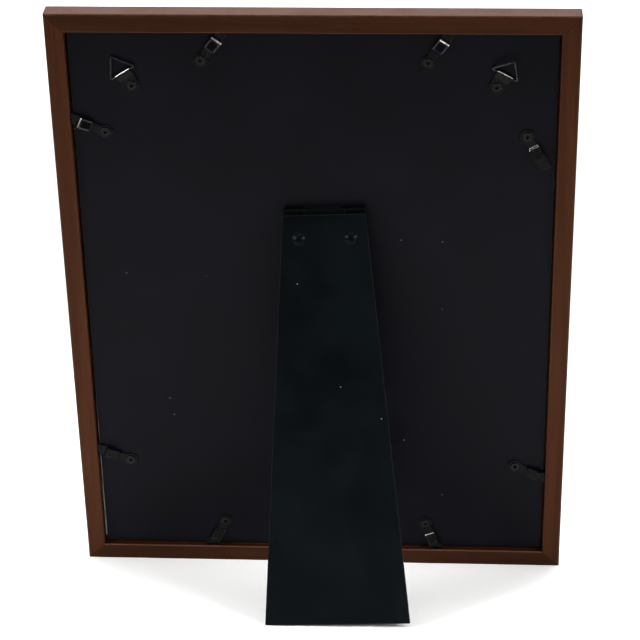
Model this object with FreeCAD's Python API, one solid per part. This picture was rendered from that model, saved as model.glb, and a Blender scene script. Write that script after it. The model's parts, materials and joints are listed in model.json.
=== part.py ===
import FreeCAD, Part
import math
import os

# A picture frame standing on its easel leg, seen with its front facing -Y.
# Every piece is drawn with the frame upright: X runs across, Z up, Y out of the rear face,
# with the origin in the middle of the rear face's bottom edge. The whole frame then leans
# back onto its leg. Left and right mean as seen from behind, so left is +X. Sizes are in mm.

# moulding
RABBET_WIDTH = 282.6
RABBET_HEIGHT = 358.8
REAR_FACE = 11.0
FRONT_FACE = 17.0
DEPTH = 14.0
LIP = 4.0
REAR_ARRIS = 1.2
FRONT_ARRIS = 2.5
SIGHT_ARRIS = 1.5
INNER_ARRIS = 0.5
GROOVE_DEPTH = 7.0
GROOVE_WIDTH = 1.8
GROOVE_LAND = 1.5

# the stack held in the rabbet
SHEET_WIDTH = 279.4
SHEET_HEIGHT = 355.6
GLASS = 2.0
MAT = 1.4
MAT_WIDTH = 278.0
MAT_HEIGHT = 355.0
WINDOW_WIDTH = 190.5
WINDOW_HEIGHT = 241.3
MAT_TURN = -0.45
MAT_ACROSS = 0.75
PICTURE = 0.3
BOARD = 3.0

# corner nails, V-shaped and sunk inside the mitres
NAIL_TOP = 1.0
NAIL_LENGTH = 7.0
NAIL_WING = 4.5
NAIL_THICK = 0.5
NAIL_ACROSS = 3.5

# turn clips
CLIP_STEEL = 0.8
CLIP_GAP = 0.2
CLIP_EYE = 4.2
CLIP_WIDTH = 6.8
CLIP_NECK = 5.2
CLIP_TIP_WIDTH = 5.5
CLIP_LENGTH = 24.0
CLIP_STEP = (7.0, 8.6)
CLIP_STEP_RISE = 1.3
CLIP_RIDGE = 15.6
CLIP_RIDGE_OUT = 2.8
CLIP_TIP_START = 17.0
CLIP_TIP_OUT = 0.5
CLIP_TIP_ROUND = 1.5
CLIP_PLAN_BEND = 1.0
CLIP_PANEL = (9.8, 14.6)
CLIP_PANEL_WIDTH = 4.8
CLIP_PANEL_DEPTH = 0.35

# rivets
RIVET_SHANK = 1.5
RIVET_HEAD = 2.9
RIVET_HEAD_THICK = 0.8
RIVET_HOLLOW = 1.0
RIVET_TAIL = 2.4
RIVET_TAIL_THICK = 0.5
RUNNING_GAP = 0.05
FLAT_GAP = 0.1

# hangers
HANGER_UP = 336.3
STRAP_STEEL = 0.6
STRAP_END = 4.4
STRAP_WIDTH = 9.8
STRAP_BAR = 8.9
STRAP_CLOSE = 5.0
RING_WIRE = 0.6
RING_BASE = 17.0
RING_HEIGHT = 12.2
RING_BEND = 0.8

# easel leg and its hinge
LEG_ACROSS = -5.4
LEG_UP = 256.5
LEG_TURN = 2.25
LEG_LENGTH = 251.5
LEG_THICK = 3.0
LEG_TOP_WIDTH = 49.0
LEG_FOOT_WIDTH = 88.0
LEG_TOP_GAP = 2.0
LEG_TOP_ROUND = 1.0
LEG_RIVET_DOWN = 16.3
LEG_RIVET_ACROSS = 15.4
LEG_RIVET_HEAD = 3.75
LEG_RIVET_DOME = 1.6
LEAF_STEEL = 0.8
LEAF_WIDTH = 48.0
LEAF_LENGTH = 23.0
LEAF_CORNER = 2.0
BARREL_RADIUS = 1.8
BARREL_LIFT = 2.0
MIDDLE_KNUCKLE = 24.0
KNUCKLE_GAP = 0.3
PIN_RADIUS = 0.8
STOP_REACH = 2.66
STOP_STEEL = 0.8
BOARD_RIVET_DOWN = 13.0
BOARD_RIVET_ACROSS = 9.0

LEAN = 13.0

WIDTH = RABBET_WIDTH + 2 * REAR_FACE
HEIGHT = RABBET_HEIGHT + 2 * REAR_FACE
RECESS = DEPTH - LIP - GLASS - MAT - PICTURE - BOARD
BOARD_FACE = -RECESS
MIDDLE = HEIGHT / 2

ACROSS = FreeCAD.Vector(1, 0, 0)
OUTWARD = FreeCAD.Vector(0, 1, 0)

# name, sideways place, height, direction the tip points (0 is up, positive turns to the left)
CLIPS = (
    ("clip_top_left", 63.8, HEIGHT - REAR_FACE - 17.7, -37.0),
    ("clip_top_right", -66.0, HEIGHT - REAR_FACE - 18.4, -34.0),
    ("clip_left_upper", 121.5, 306.5, 66.0),
    ("clip_left_lower", 120.6, 76.2, 68.0),
    ("clip_right_upper", -123.5, 305.2, -150.0),
    ("clip_right_lower", -122.2, 75.5, -114.0),
    ("clip_bottom_left", 62.1, REAR_FACE + 18.8, 153.0),
    ("clip_bottom_right", -66.0, REAR_FACE + 19.2, 202.0),
)

# name of the ring, sideways place of the strap's rivet, direction the ring points,
# how far it is swung out of the board
HANGERS = (
    ("ring_left", 104.2, 32.0, 0.0),
    ("ring_right", -105.2, -28.5, 20.0),
)


def at(x, y, z):
    return FreeCAD.Vector(x, y, z)


ORIGIN = at(0, 0, 0)


def rounded_face(corners):
    """Flat face with straight sides; each corner is (point, radius)."""
    edges = []
    ends = []
    for index, (corner, radius) in enumerate(corners):
        if radius == 0:
            ends.append((corner, corner))
            continue
        to_last = (corners[index - 1][0] - corner).normalize()
        to_next = (corners[(index + 1) % len(corners)][0] - corner).normalize()
        half = to_last.getAngle(to_next) / 2
        start = corner + to_last * (radius / math.tan(half))
        end = corner + to_next * (radius / math.tan(half))
        middle = corner + (to_last + to_next).normalize() * (radius / math.sin(half) - radius)
        edges.append(Part.Arc(start, middle, end).toShape())
        ends.append((start, end))
    for index, (_, leaving) in enumerate(ends):
        arriving = ends[(index + 1) % len(ends)][0]
        edges.append(Part.makeLine(leaving, arriving))
    return Part.Face(Part.Wire(Part.__sortEdges__(edges)))


def side_prism(points, width):
    """Prism across X from the (up, out) points of a side view."""
    corners = [(at(-width / 2, out, up), 0) for up, out in points]
    return rounded_face(corners).extrude(ACROSS * width)


def plan_prism(points, low, high):
    """Prism along Y from the (across, up, radius) points of a rear view."""
    corners = [(at(x, low, z), radius) for x, z, radius in points]
    return rounded_face(corners).extrude(OUTWARD * (high - low))


def turned(points):
    """Solid of revolution about Y from (radius, out) points."""
    corners = [(at(radius, out, 0), 0) for radius, out in points]
    return rounded_face(corners).revolve(ORIGIN, OUTWARD, 360)


def round_bar(radius, start, end):
    return Part.makeCylinder(radius, (end - start).Length, start, end - start)


def set_down(shape, x, z, turn):
    """Turn a piece in the plane of the rear face and set it on the backing board."""
    placed = shape.copy()
    placed.rotate(ORIGIN, OUTWARD, turn)
    placed.translate(at(x, BOARD_FACE, z))
    return placed


def about_middle(shape, turn):
    """The same piece turned about the middle of the frame."""
    placed = shape.copy()
    placed.rotate(at(0, 0, MIDDLE), OUTWARD, turn)
    return placed


def moulding(length):
    """Plain length of moulding lying along the bottom of the frame."""
    groove_floor = -GROOVE_LAND - GROOVE_WIDTH
    groove_end = REAR_FACE - GROOVE_DEPTH
    outline = (
        (0, 0, REAR_ARRIS),
        (-DEPTH, 0, FRONT_ARRIS),
        (-DEPTH, FRONT_FACE, SIGHT_ARRIS),
        (LIP - DEPTH, FRONT_FACE, 0),
        (LIP - DEPTH, REAR_FACE, 0),
        (groove_floor, REAR_FACE, 0),
        (groove_floor, groove_end, 0),
        (-GROOVE_LAND, groove_end, 0),
        (-GROOVE_LAND, REAR_FACE, 0),
        (0, REAR_FACE, INNER_ARRIS),
    )
    corners = [(at(-length / 2, y, z), radius) for y, z, radius in outline]
    return rounded_face(corners).extrude(ACROSS * length)


def mitred_rail(length):
    """One rail with both ends cut at 45 degrees."""
    outer = length / 2
    inner = outer - FRONT_FACE
    corners = ((-outer, 0, 0), (outer, 0, 0), (inner, FRONT_FACE, 0), (-inner, FRONT_FACE, 0))
    return moulding(length).common(plan_prism(corners, -DEPTH, 0))


def corner_nails():
    """One V-nail across each mitre, sunk below the rear surface."""
    wing = NAIL_WING
    chevron = (
        (0, 0, 0), (wing, -wing, 0), (wing, -wing - NAIL_THICK, 0),
        (0, -NAIL_THICK, 0), (-wing, -wing - NAIL_THICK, 0), (-wing, -wing, 0),
    )
    nails = []
    for across, up, turn in ((1, 1, 45), (-1, 1, -45), (-1, -1, -135), (1, -1, 135)):
        nail = plan_prism(chevron, -NAIL_TOP - NAIL_LENGTH, -NAIL_TOP)
        nail.rotate(ORIGIN, OUTWARD, turn)
        x = across * (WIDTH / 2 - NAIL_ACROSS)
        z = MIDDLE + up * (HEIGHT / 2 - NAIL_ACROSS)
        nail.translate(at(x, 0, z))
        nails.append(nail)
    return nails


def rails(nails):
    """The four rails, each pocketed for the corner nails."""
    level = mitred_rail(WIDTH)
    upright = mitred_rail(HEIGHT)
    upright.translate(at(0, 0, MIDDLE - WIDTH / 2))
    pieces = {
        "rail_bottom": level,
        "rail_top": about_middle(level, 180),
        "rail_left": about_middle(upright, -90),
        "rail_right": about_middle(upright, 90),
    }
    pockets = Part.makeCompound(nails)
    return {name: rail.cut(pockets) for name, rail in pieces.items()}


def sheet(width, height, front, thick):
    return Part.makeBox(width, thick, height, at(-width / 2, front, MIDDLE - height / 2))


def glazing():
    """Glass, window mat and picture, from the front lip backwards."""
    glass_face = LIP - DEPTH
    mat_face = glass_face + GLASS
    picture_face = mat_face + MAT
    window = sheet(WINDOW_WIDTH, WINDOW_HEIGHT, mat_face, MAT)
    mat = sheet(MAT_WIDTH, MAT_HEIGHT, mat_face, MAT).cut(window)
    picture = sheet(MAT_WIDTH, MAT_HEIGHT, picture_face, PICTURE)
    pieces = {
        "mat_board": about_middle(mat, MAT_TURN),
        "picture_sheet": about_middle(picture, MAT_TURN),
    }
    for piece in pieces.values():
        piece.translate(at(MAT_ACROSS, 0, 0))
    pieces["glass_pane"] = sheet(SHEET_WIDTH, SHEET_HEIGHT, glass_face, GLASS)
    return pieces


def hollow_rivet(grip):
    """Tubular rivet through the backing board; grip is what it holds above the board."""
    top = grip + RIVET_HEAD_THICK
    bevel = RIVET_HEAD_THICK / 2
    return turned((
        (0, -BOARD), (RIVET_TAIL, -BOARD), (RIVET_TAIL, RIVET_TAIL_THICK - BOARD),
        (RIVET_SHANK, RIVET_TAIL_THICK - BOARD), (RIVET_SHANK, grip), (RIVET_HEAD, grip),
        (RIVET_HEAD, top - bevel), (RIVET_HEAD - bevel, top),
        (RIVET_HOLLOW, top), (RIVET_HOLLOW, 0), (0, 0),
    ))


def clip_plan():
    """Rear view of a clip: round eye, waisted neck, flat arm and rounded tip."""
    neck = CLIP_NECK / 2
    arm = CLIP_WIDTH / 2
    tip = CLIP_TIP_WIDTH / 2
    neck_end, arm_start = CLIP_STEP
    half = (
        (neck, 0, 0), (neck, neck_end, CLIP_PLAN_BEND), (arm, arm_start, CLIP_PLAN_BEND),
        (arm, CLIP_TIP_START, CLIP_PLAN_BEND), (tip, CLIP_LENGTH, CLIP_TIP_ROUND),
    )
    other = tuple((-x, z, radius) for x, z, radius in reversed(half))
    top = CLIP_RIDGE_OUT + CLIP_STEEL
    eye = round_bar(CLIP_EYE, ORIGIN, at(0, top, 0))
    return plan_prism(half + other, 0, top).fuse(eye)


def turn_clip():
    """Pressed steel clip, its rivet at the origin and its tip pointing up."""
    steel = CLIP_STEEL
    bend = steel / 2
    neck_end, arm_start = CLIP_STEP
    arm_out = CLIP_GAP + CLIP_STEP_RISE
    past_tip = CLIP_LENGTH + steel
    past_eye = -CLIP_EYE - steel
    strip = side_prism((
        (past_eye, CLIP_GAP), (neck_end, CLIP_GAP), (arm_start, arm_out),
        (CLIP_RIDGE, CLIP_RIDGE_OUT), (CLIP_TIP_START, CLIP_TIP_OUT), (past_tip, CLIP_TIP_OUT),
        (past_tip, CLIP_TIP_OUT + steel), (CLIP_TIP_START + bend, CLIP_TIP_OUT + steel),
        (CLIP_RIDGE + bend, CLIP_RIDGE_OUT + steel), (arm_start - bend, arm_out + steel),
        (neck_end - bend, CLIP_GAP + steel), (past_eye, CLIP_GAP + steel),
    ), 3 * CLIP_EYE)
    slope = (CLIP_RIDGE_OUT - arm_out) / (CLIP_RIDGE - arm_start + steel)
    low, high = CLIP_PANEL
    low_out = arm_out + steel + slope * (low - arm_start + bend) - CLIP_PANEL_DEPTH
    high_out = low_out + slope * (high - low)
    panel = side_prism((
        (low, low_out), (high, high_out), (high, high_out + steel), (low, low_out + steel),
    ), CLIP_PANEL_WIDTH)
    bore = round_bar(RIVET_SHANK + RUNNING_GAP, ORIGIN, at(0, 2 * steel, 0))
    return strip.common(clip_plan()).cut(panel).cut(bore)


def hanger_strap():
    """Folded strap, its rivet hole at the origin and its fold round the ring's bar."""
    steel = STRAP_STEEL
    fold_inside = RING_WIRE + RUNNING_GAP
    fold_outside = fold_inside + steel
    bar_out = fold_outside
    past_end = -STRAP_END - steel
    layers = side_prism((
        (past_end, 0), (STRAP_BAR, 0), (STRAP_BAR, steel), (STRAP_CLOSE, steel),
        (STRAP_BAR, bar_out + fold_inside), (STRAP_BAR, bar_out + fold_outside),
        (STRAP_CLOSE - steel, 2 * steel), (past_end, 2 * steel),
    ), 2 * STRAP_WIDTH)
    half = STRAP_WIDTH / 2
    top = bar_out + fold_outside
    eye = round_bar(STRAP_END, ORIGIN, at(0, top, 0))
    taper = plan_prism((
        (STRAP_END, 0, 0), (half, STRAP_BAR, 0), (-half, STRAP_BAR, 0), (-STRAP_END, 0, 0),
    ), 0, top)
    curl_start = at(-half, bar_out, STRAP_BAR)
    curl_end = at(half, bar_out, STRAP_BAR)
    beyond = Part.makeBox(STRAP_WIDTH, top, fold_outside, at(-half, 0, STRAP_BAR))
    curl = round_bar(fold_outside, curl_start, curl_end).common(beyond)
    body = layers.common(eye.fuse(taper)).fuse(curl)
    hole = round_bar(RIVET_SHANK, ORIGIN, at(0, top, 0))
    return body.cut(round_bar(fold_inside, curl_start, curl_end)).cut(hole).removeSplitter()


def hanger_ring():
    """Triangular wire ring with the middle of its bar at the origin and its point up."""
    half = RING_BASE / 2
    corners = (at(half, 0, 0), at(0, 0, RING_HEIGHT), at(-half, 0, 0))
    path = rounded_face([(corner, RING_BEND) for corner in corners]).OuterWire
    lengths = []
    for edge in path.Edges:
        start = edge.valueAt(edge.FirstParameter)
        along = edge.tangentAt(edge.FirstParameter)
        wire_end = Part.Face(Part.Wire(Part.makeCircle(RING_WIRE, start, along)))
        if edge.Curve.TypeId == "Part::GeomLine":
            lengths.append(wire_end.extrude(along * edge.Length))
        else:
            sweep = math.degrees(edge.Length / RING_BEND)
            lengths.append(wire_end.revolve(edge.Curve.Center, edge.Curve.Axis, sweep))
    return lengths[0].multiFuse(lengths[1:])


def knuckle(low, high, bore):
    """Part of the hinge barrel, open round the pin."""
    start = at(low, 0, 0)
    end = at(high, 0, 0)
    return round_bar(BARREL_RADIUS, start, end).cut(round_bar(bore, start, end))


def hinge_leaf(inner_face, spans, bore):
    """Hinge leaf hanging below its knuckles; inner_face is its side nearer the board."""
    half = LEAF_WIDTH / 2
    plate = plan_prism((
        (half, -LEG_TOP_GAP, 0), (half, -LEAF_LENGTH, LEAF_CORNER),
        (-half, -LEAF_LENGTH, LEAF_CORNER), (-half, -LEG_TOP_GAP, 0),
    ), inner_face, inner_face + LEAF_STEEL)
    pieces = []
    for low, high in spans:
        pieces.append(knuckle(low, high, bore))
        pieces.append(Part.makeBox(high - low, LEAF_STEEL, LEG_TOP_GAP, at(low, inner_face, -LEG_TOP_GAP)))
    return plate.multiFuse(pieces).removeSplitter()


def board_leaf():
    outer = LEAF_WIDTH / 2
    inner = MIDDLE_KNUCKLE / 2
    whole = hinge_leaf(-BARREL_LIFT, ((-outer, -inner), (inner, outer)), PIN_RADIUS)
    for x in (-BOARD_RIVET_ACROSS, BOARD_RIVET_ACROSS):
        below = at(x, -BARREL_LIFT, -BOARD_RIVET_DOWN)
        whole = whole.cut(round_bar(RIVET_SHANK, below, below + OUTWARD * LEAF_STEEL))
    return whole


def stop_lip(half, bore, open_angle):
    """Lip on the leg's knuckle that comes down on the board when the leg is open."""
    root = (BARREL_RADIUS + bore) / 2
    thick = STOP_STEEL
    lip = Part.makeBox(2 * half, thick, STOP_REACH - root, at(-half, -thick / 2, root))
    corner = math.hypot(STOP_REACH, thick / 2)
    touching = math.asin((BARREL_LIFT - FLAT_GAP) / corner) - math.atan2(thick / 2, STOP_REACH)
    lip.rotate(ORIGIN, ACROSS, math.degrees(touching) - open_angle)
    return lip


def leg_leaf(rivets, open_angle):
    half = MIDDLE_KNUCKLE / 2 - KNUCKLE_GAP
    bore = PIN_RADIUS + RUNNING_GAP
    whole = hinge_leaf(BARREL_RADIUS - LEAF_STEEL, ((-half, half),), bore)
    whole = whole.fuse(stop_lip(half, bore, open_angle))
    return whole.cut(Part.makeCompound(rivets))


def leg_panel(rivets):
    top = LEG_TOP_WIDTH / 2
    foot = LEG_FOOT_WIDTH / 2
    corners = (
        (top, -LEG_TOP_GAP, LEG_TOP_ROUND), (foot, -LEG_LENGTH, 0),
        (-foot, -LEG_LENGTH, 0), (-top, -LEG_TOP_GAP, LEG_TOP_ROUND),
    )
    panel = plan_prism(corners, BARREL_RADIUS, BARREL_RADIUS + LEG_THICK)
    return panel.cut(Part.makeCompound(rivets))


def domed_rivet(x):
    """Solid rivet through the leg and its leaf, with a domed head outside."""
    outer_face = BARREL_RADIUS + LEG_THICK
    inner_face = BARREL_RADIUS - LEAF_STEEL
    tail = inner_face - RIVET_TAIL_THICK
    dome_top = outer_face + LEG_RIVET_DOME
    ball = (LEG_RIVET_HEAD ** 2 + LEG_RIVET_DOME ** 2) / (2 * LEG_RIVET_DOME)
    dome = Part.makeSphere(ball, at(x, dome_top - ball, -LEG_RIVET_DOWN))
    pillar = [at(x, out, -LEG_RIVET_DOWN) for out in (tail, inner_face, outer_face, dome_top)]
    head = dome.common(round_bar(ball, pillar[2], pillar[3]))
    shank = round_bar(RIVET_SHANK, pillar[0], pillar[2])
    foot = round_bar(RIVET_TAIL, pillar[0], pillar[1])
    return head.multiFuse([shank, foot])


def board_leaf_rivet(x):
    rivet = hollow_rivet(LEAF_STEEL)
    rivet.translate(at(x, -BARREL_LIFT, -BOARD_RIVET_DOWN))
    return rivet


def floor_level():
    """Height of the floor below the leaning frame's rounded bottom edge."""
    lean = math.radians(LEAN)
    return REAR_ARRIS * (math.cos(lean) + math.sin(lean) - 1)


def leg_open_angle():
    """Opening at which the lower corner of the leg's foot meets the floor."""
    lean = math.radians(LEAN)
    turn = math.radians(LEG_TURN)
    corner_up = LEG_UP - LEG_FOOT_WIDTH / 2 * math.sin(turn)
    hinge_height = corner_up * math.cos(lean) - (BOARD_FACE + BARREL_LIFT) * math.sin(lean)
    down = LEG_LENGTH * math.cos(turn) * math.cos(lean) + BARREL_RADIUS * math.sin(lean)
    back = LEG_LENGTH * math.sin(lean) - BARREL_RADIUS * math.cos(turn) * math.cos(lean)
    drop = hinge_height - floor_level()
    return math.degrees(math.atan2(back, down) + math.acos(drop / math.hypot(down, back)))


def on_hinge(shape, open_angle=0):
    """Swing a piece about the hinge pin and carry it to its place on the board."""
    placed = shape.copy()
    placed.rotate(ORIGIN, ACROSS, open_angle)
    placed.rotate(ORIGIN, OUTWARD, LEG_TURN)
    placed.translate(at(LEG_ACROSS, BOARD_FACE + BARREL_LIFT, LEG_UP))
    return placed


def easel():
    """Leg, hinge and rivets, with the leg open."""
    angle = leg_open_angle()
    leg_rivets = [domed_rivet(side * LEG_RIVET_ACROSS) for side in (-1, 1)]
    board_rivets = [board_leaf_rivet(side * BOARD_RIVET_ACROSS) for side in (-1, 1)]
    outer = LEAF_WIDTH / 2
    return {
        "leg_panel": on_hinge(leg_panel(leg_rivets), angle),
        "leg_rivets": on_hinge(Part.makeCompound(leg_rivets), angle),
        "hinge_leg_leaf": on_hinge(leg_leaf(leg_rivets, angle), angle),
        "hinge_board_leaf": on_hinge(board_leaf()),
        "hinge_board_rivets": on_hinge(Part.makeCompound(board_rivets)),
        "hinge_pin": on_hinge(round_bar(PIN_RADIUS, at(-outer, 0, 0), at(outer, 0, 0))),
    }


def clips():
    """The eight turn clips and their rivets."""
    pieces = {}
    rivets = []
    clip = turn_clip()
    rivet = hollow_rivet(CLIP_GAP + CLIP_STEEL + FLAT_GAP)
    for name, x, z, turn in CLIPS:
        pieces[name] = set_down(clip, x, z, turn)
        rivets.append(set_down(rivet, x, z, 0))
    pieces["clip_rivets"] = Part.makeCompound(rivets)
    return pieces


def hangers():
    """Two straps with their rivets and rings, leaning out towards the top corners."""
    rivet = hollow_rivet(2 * STRAP_STEEL)
    strap = hanger_strap()
    ring = hanger_ring()
    straps = []
    rivets = []
    pieces = {}
    for name, x, turn, swing in HANGERS:
        place = (x, HANGER_UP, turn)
        straps.append(set_down(strap, *place))
        rivets.append(set_down(rivet, *place))
        swung = ring.copy()
        swung.rotate(ORIGIN, ACROSS, -swing)
        swung.translate(at(0, RING_WIRE + RUNNING_GAP + STRAP_STEEL, STRAP_BAR))
        pieces[name] = set_down(swung, *place)
    pieces["hanger_straps"] = Part.makeCompound(straps)
    pieces["hanger_rivets"] = Part.makeCompound(rivets)
    return pieces


def stand_up(pieces):
    """Lean the frame back onto its leg and put the origin under its middle."""
    for shape in pieces.values():
        shape.rotate(ORIGIN, ACROSS, -LEAN)
    box = Part.makeCompound(list(pieces.values())).optimalBoundingBox(False, False)
    for shape in pieces.values():
        shape.translate(at(0, -(box.YMin + box.YMax) / 2, -floor_level()))


def build():
    nails = corner_nails()
    pieces = rails(nails)
    pieces["corner_nails"] = Part.makeCompound(nails)
    pieces.update(glazing())
    pieces.update(clips())
    pieces.update(hangers())
    pieces.update(easel())
    through_board = [pieces[name] for name in ("clip_rivets", "hanger_rivets", "hinge_board_rivets")]
    board = sheet(SHEET_WIDTH, SHEET_HEIGHT, BOARD_FACE - BOARD, BOARD)
    pieces["backing_board"] = board.cut(Part.makeCompound(through_board))
    stand_up(pieces)
    return pieces


os.makedirs("parts", exist_ok=True)
for name, shape in build().items():
    shape.exportStep("parts/" + name + ".step")
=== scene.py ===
import json
import math

import bmesh
import bpy
from mathutils import Matrix, Vector


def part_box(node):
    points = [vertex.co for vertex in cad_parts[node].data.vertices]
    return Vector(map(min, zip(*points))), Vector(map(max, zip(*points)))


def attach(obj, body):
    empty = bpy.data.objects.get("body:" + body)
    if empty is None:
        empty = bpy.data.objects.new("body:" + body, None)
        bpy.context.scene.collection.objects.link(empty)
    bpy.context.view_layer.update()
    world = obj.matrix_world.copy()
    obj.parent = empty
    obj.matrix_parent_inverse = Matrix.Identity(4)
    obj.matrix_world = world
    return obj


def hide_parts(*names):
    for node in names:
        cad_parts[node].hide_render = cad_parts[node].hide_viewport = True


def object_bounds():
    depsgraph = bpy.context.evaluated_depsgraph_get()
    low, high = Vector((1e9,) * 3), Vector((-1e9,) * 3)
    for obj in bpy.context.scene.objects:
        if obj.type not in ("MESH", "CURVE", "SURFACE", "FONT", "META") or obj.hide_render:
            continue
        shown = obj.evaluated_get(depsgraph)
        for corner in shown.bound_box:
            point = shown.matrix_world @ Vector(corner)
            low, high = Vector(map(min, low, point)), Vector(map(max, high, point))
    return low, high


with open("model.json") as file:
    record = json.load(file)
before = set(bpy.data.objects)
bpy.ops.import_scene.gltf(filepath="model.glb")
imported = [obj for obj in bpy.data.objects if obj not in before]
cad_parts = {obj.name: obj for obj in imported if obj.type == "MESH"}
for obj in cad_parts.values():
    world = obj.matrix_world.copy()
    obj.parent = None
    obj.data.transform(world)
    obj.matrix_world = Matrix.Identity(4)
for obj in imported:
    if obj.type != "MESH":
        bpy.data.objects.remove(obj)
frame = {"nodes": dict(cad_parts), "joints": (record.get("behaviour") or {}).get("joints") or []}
CAD_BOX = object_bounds()
NODES = frame["nodes"]
JOINTS = {joint["name"]: joint for joint in frame["joints"]}

MM = 0.001

# ---------------------------------------------------------------------------------------------
# Directions and places, read from the frame
# ---------------------------------------------------------------------------------------------

ACROSS = Vector((1, 0, 0))
OUT = Vector(JOINTS["clip_top_left_turn"]["axis"]).normalized()
UP = ACROSS.cross(OUT)


def reach(node, along):
    """Least and greatest distance of a CAD node's corners along a direction."""
    steps = [vertex.co.dot(along) for vertex in NODES[node].data.vertices]
    return min(steps), max(steps)


def largest_face(node):
    """The largest face of a CAD node."""
    return max(NODES[node].data.polygons, key=lambda face: face.area)


def space(origin, across, out):
    """Matrix of a flat thing's own space: X across it, Y out of its rear, Z up it."""
    turn = Matrix((across, out, across.cross(out))).transposed()
    return Matrix.Translation(origin) @ turn.to_4x4()


REAR = reach("rail_left", OUT)[1]
FOOT, HEAD = reach("rail_left", UP)
HALF_WIDTH = reach("rail_left", ACROSS)[1]
HEIGHT = HEAD - FOOT
FRAME_SPACE = space(OUT * REAR + UP * FOOT, ACROSS, OUT)

HINGE = Vector(JOINTS["leg_hinge"]["pos_m"])
LEG_ACROSS = -Vector(JOINTS["leg_hinge"]["axis"]).normalized()
LEG_OUT = Vector(largest_face("leg_panel").normal)
if LEG_OUT.y < 0:
    LEG_OUT.negate()
LEG_SPACE = space(HINGE, LEG_ACROSS, (LEG_OUT - LEG_ACROSS * LEG_OUT.dot(LEG_ACROSS)).normalized())
HINGE_SPACE = space(HINGE, LEG_ACROSS, OUT)

# ---------------------------------------------------------------------------------------------
# Finishes
# ---------------------------------------------------------------------------------------------


class Graph:
    """Short calls for the few kinds of node that the finishes and the sky use."""

    def __init__(self, tree, place):
        self.tree = tree
        self.place = self.node("ShaderNodeTexCoord").outputs[place]

    def feed(self, socket, value):
        if isinstance(value, bpy.types.NodeSocket):
            self.tree.links.new(value, socket)
        else:
            socket.default_value = value

    def node(self, kind, inputs=(), **settings):
        made = self.tree.nodes.new(kind)
        for name, value in settings.items():
            setattr(made, name, value)
        for key, value in dict(inputs).items():
            self.feed(made.inputs[key], value)
        return made

    def parts(self):
        """Across, out and up as separate values."""
        return self.node("ShaderNodeSeparateXYZ", {0: self.place}).outputs

    def stretched(self, size, shift=(0, 0, 0)):
        """Texture space in which a pattern's features are about these sizes, in metres."""
        scale = [1 / step for step in size]
        return self.node("ShaderNodeMapping", {0: self.place, "Scale": scale, "Location": shift}).outputs[0]

    def noise(self, vector, detail=3.0, rough=0.5, warp=0.0):
        inputs = {"Vector": vector, "Scale": 1.0, "Detail": detail, "Roughness": rough, "Distortion": warp}
        return self.node("ShaderNodeTexNoise", inputs).outputs["Fac"]

    def flat_cells(self, size, shift):
        """Cells over the flat face, about this size in metres; the shift is counted in cells."""
        across, _, up = self.parts()
        flat = self.node("ShaderNodeCombineXYZ", {0: across, 1: up}).outputs[0]
        inputs = {0: flat, "Scale": (1 / size,) * 3, "Location": (shift, 0.3, 0)}
        placed = self.node("ShaderNodeMapping", inputs).outputs[0]
        return self.node("ShaderNodeTexVoronoi", {"Vector": placed, "Scale": 1.0}, voronoi_dimensions="2D")

    def sums(self, operation, first, second=0.0, third=0.0):
        """One step of arithmetic on values."""
        return self.node("ShaderNodeMath", {0: first, 1: second, 2: third}, operation=operation).outputs[0]

    def product(self, first, second):
        return self.sums("MULTIPLY", first, second)

    def gap(self, first, second):
        """Distance between two values, whichever is the greater."""
        return self.sums("ABSOLUTE", self.sums("SUBTRACT", first, second))

    def span(self, value, low, high, to_low=0.0, to_high=1.0):
        """Soft step from one value to another as the input crosses a range."""
        inputs = {"Value": value, "From Min": low, "From Max": high, "To Min": to_low, "To Max": to_high}
        return self.node("ShaderNodeMapRange", inputs, interpolation_type="SMOOTHSTEP").outputs[0]

    def blend(self, share, first, second, mode="MIX"):
        made = self.node("ShaderNodeMix", data_type="RGBA", blend_type=mode)
        self.feed(made.inputs[0], share)
        self.feed(made.inputs[6], first if isinstance(first, bpy.types.NodeSocket) else (*first, 1))
        self.feed(made.inputs[7], second if isinstance(second, bpy.types.NodeSocket) else (*second, 1))
        return made.outputs[2]


class Finish(Graph):
    """A node material."""

    def __init__(self, name):
        self.material = bpy.data.materials.new(name)
        self.material.use_nodes = True
        super().__init__(self.material.node_tree, "Object")
        self.shader = self.tree.nodes["Principled BSDF"]

    def surface(self, **inputs):
        """Set the shader's own sockets; underscores stand for spaces."""
        for name, value in inputs.items():
            self.feed(self.shader.inputs[name.replace("_", " ")], value)

    def own_space(self, matrix):
        """The surface's place in the space of a flat thing, in metres."""
        settings = {"Vector": self.place, "Location": matrix.to_translation(), "Rotation": matrix.to_euler()}
        self.place = self.node("ShaderNodeMapping", settings, vector_type="TEXTURE").outputs[0]

    def relief(self, height, depth, strength):
        inputs = {"Height": height, "Distance": depth, "Strength": strength}
        return self.node("ShaderNodeBump", inputs).outputs[0]

    def worn_and_highlit_edges(self, radius):
        """1 on sharp outer edges, falling to 0 on flat faces."""
        soft = self.node("ShaderNodeBevel", {"Radius": radius}, samples=6).outputs[0]
        hard = self.node("ShaderNodeNewGeometry").outputs["Normal"]
        inputs = {0: soft, 1: hard}
        same = self.node("ShaderNodeVectorMath", inputs, operation="DOT_PRODUCT").outputs["Value"]
        return self.span(same, 0.995, 0.85)


# Directions of the wood's grain, as the index of an axis of the frame's space
GRAIN_ACROSS = 0
GRAIN_UP = 2

# Width of a rail's rear face in millimetres, and how strongly a painted highlight lightens the rails' inner
# arris
RAIL_BEHIND = 11.0
LIP_PAINTED_HIGHLIGHT = {GRAIN_ACROSS: 0.45, GRAIN_UP: 0.10}

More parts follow.
